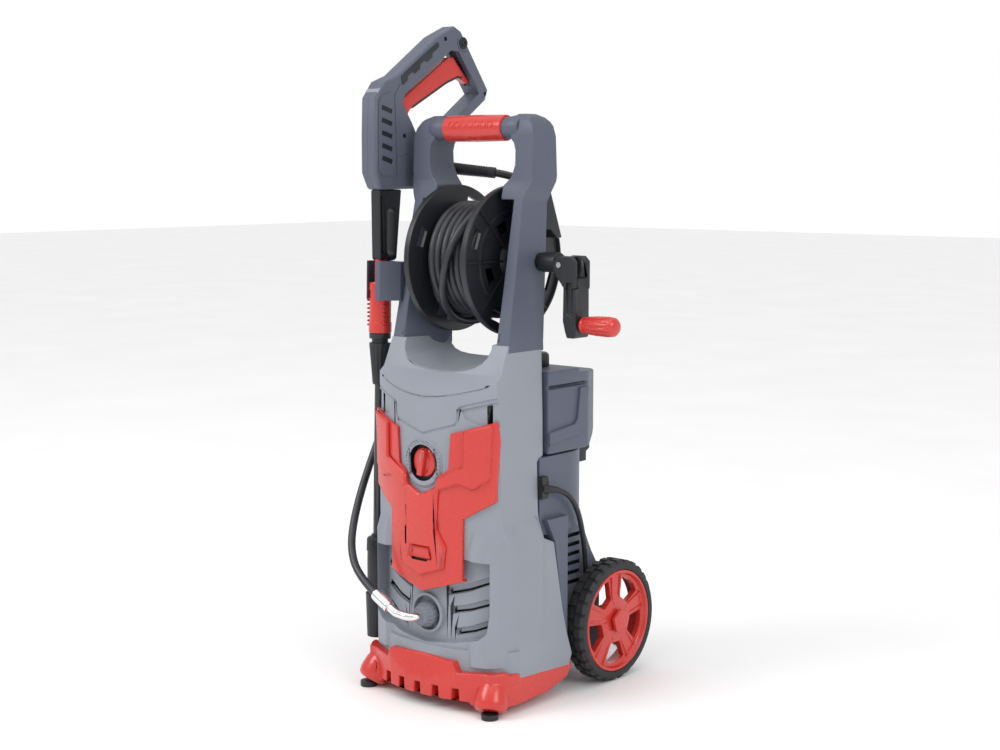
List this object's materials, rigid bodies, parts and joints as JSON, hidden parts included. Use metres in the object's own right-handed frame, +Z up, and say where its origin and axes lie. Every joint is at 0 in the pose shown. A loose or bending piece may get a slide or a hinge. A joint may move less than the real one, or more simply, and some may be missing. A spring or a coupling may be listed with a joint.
{
  "type": "pressure washer",
  "caption": "Upright electric pressure washer on two wheels, with an overhead hose reel, folding crank, trigger gun with lance clipped to its side and a selector knob.",
  "frame": {"origin": "on the floor under the middle of the machine's box, cords left out", "axes": "+Z up, -Y towards the front cover, +X towards the crank"},
  "size_m": [0.4078, 0.4685, 0.964],
  "materials": {
    "light_grey": "fine moulded grain, satin",
    "dark_grey": "fine moulded grain, satin",
    "red": "smooth moulded plastic",
    "black": "moulded, satin",
    "rubber": "smooth extruded rubber",
    "lead": "smooth rubber sheath",
    "tyre_rubber": "matt rubber with block tread",
    "chrome": "polished",
    "steel": "turned",
    "cast_aluminium": "cast"
  },
  "bodies": {
    "root": {"front_housing": "light_grey", "rear_housing": "dark_grey", "arm_left": "dark_grey", "arm_right": "dark_grey", "handle_bar": "dark_grey", "handle_grip": "red", "base_tray": "red", "front_feet": "rubber", "front_cover": "red", "outlet_nut": "dark_grey", "outlet_elbow": "chrome", "jumper_hose": "rubber", "motor": "cast_aluminium", "pump": "cast_aluminium", "switch_box": "black", "water_inlet": "black", "detergent_tank": "dark_grey", "lower_hook": "dark_grey", "lance_clip": "dark_grey", "lance_cup": "black", "reel_bushes": "black", "hose_swivel": "dark_grey", "wheel_axle": "steel", "cord_gland": "rubber", "power_cord": "lead", "cord_coil": "lead", "cord_tail": "lead", "plug": "lead", "housing_screws": "steel", "gun_hose": "rubber"},
    "reel": {"reel_axle": "steel", "drum": "black", "flange_left": "black", "flange_right": "black", "hose_coil": "rubber", "crank_hub": "black"},
    "crank_arm": {"crank_arm": "black", "fold_pin": "steel"},
    "crank_grip": {"crank_grip": "red"},
    "wheel_left": {"tyre_left": "tyre_rubber", "rim_left": "red", "hub_cap_left": "red"},
    "wheel_right": {"tyre_right": "tyre_rubber", "rim_right": "red", "hub_cap_right": "red"},
    "knob": {"knob": "red"},
    "lance": {"gun_shell_left": "dark_grey", "gun_shell_right": "dark_grey", "gun_inlet": "black", "bend_restrictor": "rubber", "gun_barrel": "dark_grey", "lance_coupling": "red", "lance_nut": "black", "lance_tube": "steel", "nozzle_body": "black"},
    "trigger": {"trigger": "red"},
    "lock_button": {"lock_button": "dark_grey"},
    "nozzle_tip": {"nozzle_tip": "black"},
    "cable_hook": {"cable_hook": "dark_grey"},
    "tank_cap": {"tank_cap": "dark_grey"}
  },
  "joints": [
    {"name": "wheel_left_spin", "type": "hinge", "parent": "root", "child": "wheel_left", "pos_m": [-0.166, 0.10425, 0.09], "axis": [1, 0, 0], "continuous": true},
    {"name": "wheel_right_spin", "type": "hinge", "parent": "root", "child": "wheel_right", "pos_m": [0.094, 0.10425, 0.09], "axis": [1, 0, 0], "continuous": true},
    {"name": "reel_spin", "type": "hinge", "parent": "root", "child": "reel", "pos_m": [-0.036, -0.02975, 0.624], "axis": [1, 0, 0], "continuous": true},
    {"name": "crank_fold", "type": "hinge", "parent": "reel", "child": "crank_arm", "pos_m": [0.114, -0.02975, 0.622], "axis": [0, -1, 0], "range_deg": [0, 90]},
    {"name": "crank_grip_spin", "type": "hinge", "parent": "crank_arm", "child": "crank_grip", "pos_m": [0.164, -0.02975, 0.54], "axis": [1, 0, 0], "continuous": true},
    {"name": "knob_turn", "type": "hinge", "parent": "root", "child": "knob", "pos_m": [-0.036, -0.15075, 0.346], "axis": [0, -1, 0], "range_deg": [0, 90]},
    {"name": "lance_lift", "type": "slide", "parent": "root", "child": "lance", "axis": [0, 0.0288, 0.9996], "range_m": [0, 0.08]},
    {"name": "trigger_pull", "type": "hinge", "parent": "lance", "child": "trigger", "pos_m": [-0.181, -0.04675, 0.84], "axis": [1, 0, 0], "range_deg": [0, 6], "stiffness_Nm_per_rad": 2},
    {"name": "lock_slide", "type": "slide", "parent": "lance", "child": "lock_button", "axis": [1, 0, 0], "range_m": [0, 0.003]},
    {"name": "nozzle_twist", "type": "hinge", "parent": "lance", "child": "nozzle_tip", "pos_m": [-0.181, -0.10675, 0.1], "axis": [0, 0.0288, 0.9996], "range_deg": [0, 90]},
    {"name": "hook_swivel", "type": "hinge", "parent": "root", "child": "cable_hook", "pos_m": [0.048, -0.00775, 0.702], "axis": [0, -1, 0], "range_deg": [0, 180]},
    {"name": "cap_turn", "type": "hinge", "parent": "root", "child": "tank_cap", "pos_m": [0.024, 0.01625, 0.48], "axis": [0, 0, 1], "range_deg": [0, 90]}
  ]
}
